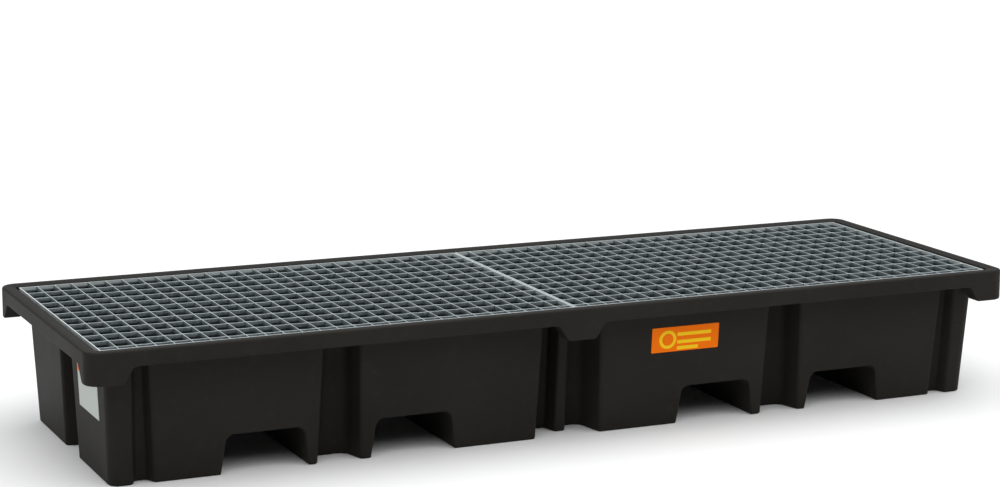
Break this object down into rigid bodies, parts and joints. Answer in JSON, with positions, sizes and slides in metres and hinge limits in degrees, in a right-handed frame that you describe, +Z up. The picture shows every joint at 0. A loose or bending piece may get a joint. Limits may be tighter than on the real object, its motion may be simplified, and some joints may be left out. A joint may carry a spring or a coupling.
{
  "type": "spill containment pallet",
  "caption": "Long low spill pallet: a moulded plastic sump tub with through fork tunnels, fluted sides and a skirted rim that carries lift-off galvanised steel mesh gratings.",
  "frame": {"origin": "on the floor under the centre of the tub", "axes": "+X along the length, -Y the long side with the orange label, +Z up"},
  "size_m": [2.48, 0.86, 0.341],
  "materials": {
    "tub_plastic": "moulded, lightly grained",
    "galvanised_steel": "hot-dip galvanised",
    "label_orange": "printed vinyl",
    "label_yellow": "printed vinyl",
    "label_white": "printed vinyl"
  },
  "bodies": {
    "tub": {"sump_tub": "tub_plastic", "front_label": "label_orange", "front_label_emblem": "label_yellow", "end_label": "label_white", "end_label_stripe": "label_orange"},
    "left_grating": {"left_grating_bearing_bars": "galvanised_steel", "left_grating_cross_bar_01": "galvanised_steel", "left_grating_cross_bar_02": "galvanised_steel", "left_grating_cross_bar_03": "galvanised_steel", "left_grating_cross_bar_04": "galvanised_steel", "left_grating_cross_bar_05": "galvanised_steel", "left_grating_cross_bar_06": "galvanised_steel", "left_grating_cross_bar_07": "galvanised_steel", "left_grating_cross_bar_08": "galvanised_steel", "left_grating_cross_bar_09": "galvanised_steel", "left_grating_cross_bar_10": "galvanised_steel", "left_grating_cross_bar_11": "galvanised_steel", "left_grating_front_band": "galvanised_steel", "left_grating_rear_band": "galvanised_steel", "left_grating_outer_band": "galvanised_steel", "left_grating_inner_band": "galvanised_steel"},
    "right_grating": {"right_grating_bearing_bars": "galvanised_steel", "right_grating_cross_bar_01": "galvanised_steel", "right_grating_cross_bar_02": "galvanised_steel", "right_grating_cross_bar_03": "galvanised_steel", "right_grating_cross_bar_04": "galvanised_steel", "right_grating_cross_bar_05": "galvanised_steel", "right_grating_cross_bar_06": "galvanised_steel", "right_grating_cross_bar_07": "galvanised_steel", "right_grating_cross_bar_08": "galvanised_steel", "right_grating_cross_bar_09": "galvanised_steel", "right_grating_cross_bar_10": "galvanised_steel", "right_grating_cross_bar_11": "galvanised_steel", "right_grating_front_band": "galvanised_steel", "right_grating_rear_band": "galvanised_steel", "right_grating_outer_band": "galvanised_steel", "right_grating_inner_band": "galvanised_steel"}
  },
  "joints": [
    {"name": "left_grating_lift", "type": "slide", "parent": "tub", "child": "left_grating", "axis": [0, 0, 1], "range_m": [0, 0.25]},
    {"name": "right_grating_lift", "type": "slide", "parent": "tub", "child": "right_grating", "axis": [0, 0, 1], "range_m": [0, 0.25]}
  ]
}
